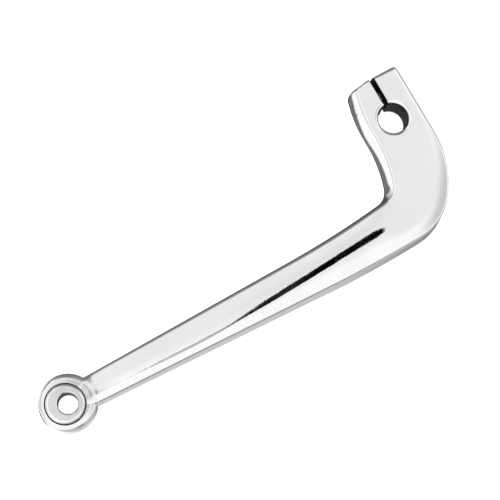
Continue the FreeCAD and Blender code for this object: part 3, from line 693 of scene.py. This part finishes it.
def thread_radius(angle, height, tip):
    """Radius of the screw's thread, which climbs one pitch a turn and is bevelled at the tip."""
    phase = (height / PITCH - angle / 360) % 1
    ridge = min(1.0, THREAD_CREST * (1 - abs(2 * phase - 1)))
    return min(THREAD / 2 - THREAD_DEPTH * (1 - ridge), THREAD / 2 - TIP_CHAMFER + height - tip)


def make_screw():
    """Socket-head cap screw with a rolled thread and a knurled head."""
    foot = SCREW_SEAT + WASHER_THICK
    tip, top = foot - SCREW_LENGTH, foot + HEAD_HEIGHT
    heights = np.arange(tip, foot - 0.4, PITCH / 8)
    rows = [ring(height, 48, lambda angle: thread_radius(angle, height, tip)) for height in heights]
    rows += [ring(height, 48, lambda _: THREAD / 2 - THREAD_DEPTH / 2) for height in (foot - 0.2, foot + 1)]
    screw = barrel("cap_screw", rows)

    edge = HEAD_WIDTH / 2
    crown = quarter(edge - HEAD_ROUND, top - HEAD_ROUND, HEAD_ROUND, 0, 90)
    sides = [(edge - HEAD_BEVEL, foot, 0), (edge, foot + HEAD_BEVEL, 0)]
    sides += [(edge, foot + 0.6, 1), (edge, top - 0.9, 1)]
    sides += [(radius, height, 0) for radius, height in crown]
    rows = []
    for radius, height, knurled in sides:
        cut = KNURL_DEPTH * knurled
        rows.append(ring(height, KNURLS * 4, lambda angle: radius - cut * (angle * KNURLS / 180 % 2 >= 1)))
    combine(screw, barrel("screw_head", rows), "UNION")

    corner = HEX_SOCKET / math.sqrt(3)
    floor = top - HEX_DEPTH
    above = top + PAST
    hexagon = [(0, floor - 0.8), (corner * 0.8, floor), (corner, floor), (corner, above), (0, above)]
    mouth = [(0, top - 0.3), (corner - 0.2, top - 0.3), (corner + 0.4, top + 0.3), (0, top + 0.3)]
    combine(screw, revolved("socket", hexagon, np.zeros(2), 6), "DIFFERENCE")
    combine(screw, revolved("socket_mouth", mouth, np.zeros(2), 64), "DIFFERENCE")
    screw.data.transform(SCREW_FRAME)
    shade(screw)
    screw.data.materials.clear()
    screw.data.materials.append(steel("screw_finish", (0.55, 0.56, 0.58), 0.22))
    return screw


def shade(made):
    """Smooth shading with creases at the sharp edges."""
    for polygon in made.data.polygons:
        polygon.use_smooth = True
    made.data.set_sharp_from_angle(angle=math.radians(SHARP_ANGLE))


def combine(target, tool, operation):
    """Apply a boolean and drop the tool."""
    modifier = target.modifiers.new(operation, "BOOLEAN")
    modifier.object = tool
    modifier.operation = operation
    modifier.solver = "MANIFOLD"
    bpy.context.view_layer.objects.active = target
    bpy.ops.object.modifier_apply(modifier=modifier.name)
    bpy.data.objects.remove(tool)


def make_lever():
    """Skin of clamp, bend and arm, joined with the eye and its boss and cut by the holes and the slit."""
    lever = make_skin()
    disc, groove, boss = lathe_parts()
    combine(lever, disc, "UNION")
    combine(lever, groove, "DIFFERENCE")
    combine(lever, boss, "UNION")
    # the cutters leave their near-black painted shade on the walls of the holes and the slit
    for cutter in (bore_cutter(), slit_cutter(), screw_cutter(), peg_cutter()):
        combine(lever, cutter, "DIFFERENCE")
    tidy_mesh(lever)
    lever.name = "polished_lever"
    shade(lever)
    return lever


# ---------------------------------------------------------------- materials

class Nodes:
    """Short way to build a material's node tree."""

    def __init__(self, name):
        self.material = bpy.data.materials.new(name)
        self.material.use_nodes = True
        self.tree = self.material.node_tree
        self.shader = self.tree.nodes["Principled BSDF"]

    def add(self, kind, inputs=None, **settings):
        node = self.tree.nodes.new(kind)
        for key, value in settings.items():
            setattr(node, key, value)
        for key, value in (inputs or {}).items():
            if isinstance(value, bpy.types.NodeSocket):
                self.tree.links.new(value, node.inputs[key])
            else:
                node.inputs[key].default_value = value
        return node

    def feed(self, socket, value):
        self.tree.links.new(value, self.shader.inputs[socket])

    def noise(self, scale, detail=2.0, rough=0.5):
        place = self.add("ShaderNodeTexCoord").outputs["Object"]
        return self.add("ShaderNodeTexNoise", {
            "Vector": place, "Scale": scale, "Detail": detail, "Roughness": rough}).outputs["Fac"]

    def ramp(self, value, low, high, out_low, out_high):
        return self.add("ShaderNodeMapRange", {
            "Value": value, "From Min": low, "From Max": high, "To Min": out_low, "To Max": out_high,
        }, interpolation_type="SMOOTHSTEP").outputs["Result"]

    def blend_colour(self, share, first, second):
        """Mix of two colours; sockets 6, 7 and 2 are the colour ones among sockets of the same names."""
        mix = self.add("ShaderNodeMix", data_type="RGBA")
        self.tree.links.new(share, mix.inputs["Factor"])
        mix.inputs[6].default_value = (*first, 1)
        mix.inputs[7].default_value = (*second, 1)
        return mix.outputs[2]


def chrome():
    """Bright plate over a polished forging: a mirror with faint waves and haze, softer round the eye."""
    made = Nodes("lever_chrome")
    made.shader.inputs["Metallic"].default_value = 1.0
    cloud = made.ramp(made.noise(45, 3), 0.3, 0.7, 0.0, 1.0)
    made.feed("Base Color", made.blend_colour(cloud, (0.84, 0.84, 0.84), (0.875, 0.875, 0.875)))
    haze = made.ramp(made.noise(70, 4), 0.3, 0.75, 0.015, 0.06)
    place = made.add("ShaderNodeTexCoord").outputs["Object"]
    eye = (*(EYE * MM), EYE_RIM * MM)
    from_eye = made.add("ShaderNodeVectorMath", {0: place, 1: eye}, operation="DISTANCE").outputs["Value"]
    softened = made.ramp(from_eye, 0.015, 0.034, 0.14, 0.0)
    made.feed("Roughness", made.add("ShaderNodeMath", {0: haze, 1: softened}).outputs[0])
    height = made.noise(90, 5, 0.55)
    wave = made.add("ShaderNodeBump", {"Height": height, "Strength": 1.0, "Distance": 0.00003})
    made.feed("Normal", wave.outputs["Normal"])
    return made.material


def hole_wall_shade():
    """Unplated steel in the bore, the saw cut and the screw's holes, coloured near black as painted shade for
    the dark inside of the holes.
    """
    made = Nodes("hole_wall_painted_shade")
    made.shader.inputs["Specular IOR Level"].default_value = 0.12
    grain = made.ramp(made.noise(1500, 3), 0.35, 0.65, 0.0, 1.0)
    # near-black colour: painted shade for the inside of the holes
    made.feed("Base Color", made.blend_colour(grain, (0.004, 0.004, 0.004), (0.02, 0.02, 0.02)))
    made.feed("Roughness", made.ramp(grain, 0.0, 1.0, 0.45, 0.65))
    return made.material


def groove_painted_shade():
    """Painted shade in the corner at the boss's foot: a near-black colour for the shade in the groove, on a
    thin, dull plate where the polishing wheel does not reach.
    """
    made = Nodes("groove_painted_shade")
    made.shader.inputs["Metallic"].default_value = 1.0
    cloud = made.ramp(made.noise(800, 3), 0.35, 0.65, 0.0, 1.0)
    # near-black colour: painted shade in the groove round the boss's foot
    made.feed("Base Color", made.blend_colour(cloud, (0.03, 0.03, 0.03), (0.16, 0.16, 0.16)))
    made.feed("Roughness", made.ramp(cloud, 0.0, 1.0, 0.4, 0.25))
    return made.material


def steel(name, colour, rough):
    """Plated steel with a fine grain."""
    made = Nodes(name)
    made.shader.inputs["Metallic"].default_value = 1.0
    grain = made.ramp(made.noise(300, 3), 0.3, 0.7, 0.0, 1.0)
    made.feed("Base Color", made.blend_colour(grain, colour, [c * 0.88 for c in colour]))
    made.feed("Roughness", made.ramp(grain, 0, 1, rough, rough + 0.08))
    return made.material


# ---------------------------------------------------------------- pieces

LEVER_FINISHES = [chrome(), hole_wall_shade(), groove_painted_shade()]
lever = make_lever()
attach(lever, "lever")
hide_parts("lever_arm")

screw = make_screw()
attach(screw, "screw")
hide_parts("pinch_screw")

washer_finish = steel("washer_finish", (0.45, 0.46, 0.48), 0.3)
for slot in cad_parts["lock_washer"].material_slots:
    slot.material = washer_finish


# ---------------------------------------------------------------- studio

def at_mm(x, y, z):
    return Vector((x, y, z)) * MM


def aim(thing, place, target, up):
    """Put a camera or lamp at a place, looking at a target."""
    back = (place - target).normalized()
    right = up.cross(back).normalized()
    rise = back.cross(right)
    thing.matrix_world = Matrix((right, rise, back)).transposed().to_4x4()
    thing.matrix_world.translation = place


PICTURE_UP = Vector((-0.6687, -0.7436, 0))      # the photo's up and right, along the floor
PICTURE_RIGHT = Vector((-0.7436, 0.6687, 0))
CAMERA = at_mm(245.3, 78.8, 872.7)
TARGET = at_mm(98.3, 1.8, 8.5)
LENS = 126.72           # focal length, for a sensor 36 mm wide
TENT = 1.12             # brightness of the tent
FLOOR_GLOW = 0.88
FLOOR_REACH = 3000.0
FLOOR_GAP = 0.02        # keeps the floor clear of the lever's back


def make_camera():
    """Camera at the photo's angle."""
    data = bpy.data.cameras.new("camera")
    data.lens = LENS
    data.sensor_width = 36
    data.clip_start = 0.01
    camera = bpy.data.objects.new("camera", data)
    bpy.context.collection.objects.link(camera)
    aim(camera, CAMERA, TARGET, PICTURE_UP)
    bpy.context.scene.camera = camera


def direction(azimuth, polar):
    """Direction from its azimuth round the picture, from its right, and its angle from straight up."""
    flat = PICTURE_RIGHT * math.cos(math.radians(azimuth)) + PICTURE_UP * math.sin(math.radians(azimuth))
    return flat * math.sin(math.radians(polar)) + Vector((0, 0, 1)) * math.cos(math.radians(polar))


# Dark and grey cards round a white tent: azimuth, angle from straight up, half width of the full tone and of
# its soft edge in degrees, and the share of the light that is left.
CARDS = [
    (63.4, 10.3, 1.3, 1.6, 0.02),
    (69.1, 9.0, 2.2, 2.5, 0.02),
    (76, 8.1, 3.1, 3.5, 0.02),
    (94, 6.2, 0.8, 1.2, 0.1),
    (115, 5.2, 1.5, 2.2, 0.5),
    (55, 17, 7, 18, 0.85),
    (118, 30, 12, 24, 0.86),
    (5, 43, 8, 26, 0.6),
    (80, 112, 35, 68, 0.20),
    (75, 46, 13, 20, 0.4),
    (103, 62, 13, 19, 0.4),
    (90, 167, 12, 19, 0.17),
    (163, 160, 10, 15, 0.17),
    (140, 85, 8, 16, 0.15),
    (180, 95, 20, 45, 0.72),
    (-50, 118, 42, 60, 0.52),
    (15, 156, 5, 18, 0.3),
    (-60, 76, 8, 14, 0.12),
]


def make_studio():
    """White tent with dark cards, which the camera doesn't see but every reflection does."""
    world = bpy.data.worlds.new("studio")
    world.use_nodes = True
    tree = world.node_tree
    nodes, links = tree.nodes, tree.links
    where = nodes.new("ShaderNodeTexCoord").outputs["Generated"]

    def math_node(operation, *values):
        made = nodes.new("ShaderNodeMath")
        made.operation = operation
        for socket, value in zip(made.inputs, values):
            if isinstance(value, float):
                socket.default_value = value
            else:
                links.new(value, socket)
        return made.outputs[0]

    def toward(axis):
        made = nodes.new("ShaderNodeVectorMath")
        made.operation = "DOT_PRODUCT"
        links.new(where, made.inputs[0])
        made.inputs[1].default_value = axis
        return made.outputs["Value"]

    def faded(value, low, high, at_low, at_high):
        made = nodes.new("ShaderNodeMapRange")
        made.interpolation_type = "SMOOTHSTEP"
        links.new(value, made.inputs["Value"])
        for name, number in (("From Min", low), ("From Max", high), ("To Min", at_low), ("To Max", at_high)):
            made.inputs[name].default_value = number
        return made.outputs["Result"]

    light = 1.0
    for azimuth, polar, full, edge, left_over in CARDS:
        low, high = math.cos(math.radians(edge)), math.cos(math.radians(full))
        card = faded(toward(direction(azimuth, polar)), low, high, 1.0, left_over)
        light = math_node("MULTIPLY", light, card)
    seen = math_node("MAXIMUM", light, nodes.new("ShaderNodeLightPath").outputs["Is Camera Ray"])
    links.new(seen, nodes["Background"].inputs["Color"])
    nodes["Background"].inputs["Strength"].default_value = TENT
    bpy.context.scene.world = world


def make_floor():
    """White sheet that glows a little, as on a light table."""
    corners = [(FLOOR_REACH * x, FLOOR_REACH * y, 0) for x, y in ((-1, -1), (1, -1), (1, 1), (-1, 1))]
    floor = mesh_object("floor", corners, [(0, 1, 2, 3)])
    floor.location.z = -FLOOR_GAP * MM
    floor.visible_glossy = False
    sheet = Nodes("floor_white")
    sheet.shader.inputs["Base Color"].default_value = (0.9, 0.9, 0.9, 1)
    sheet.shader.inputs["Roughness"].default_value = 0.9
    sheet.shader.inputs["Emission Color"].default_value = (1, 1, 1, 1)
    sheet.shader.inputs["Emission Strength"].default_value = FLOOR_GLOW
    floor.data.materials.append(sheet.material)


make_camera()
make_floor()
make_studio()
bpy.context.scene.view_settings.view_transform = "Standard"
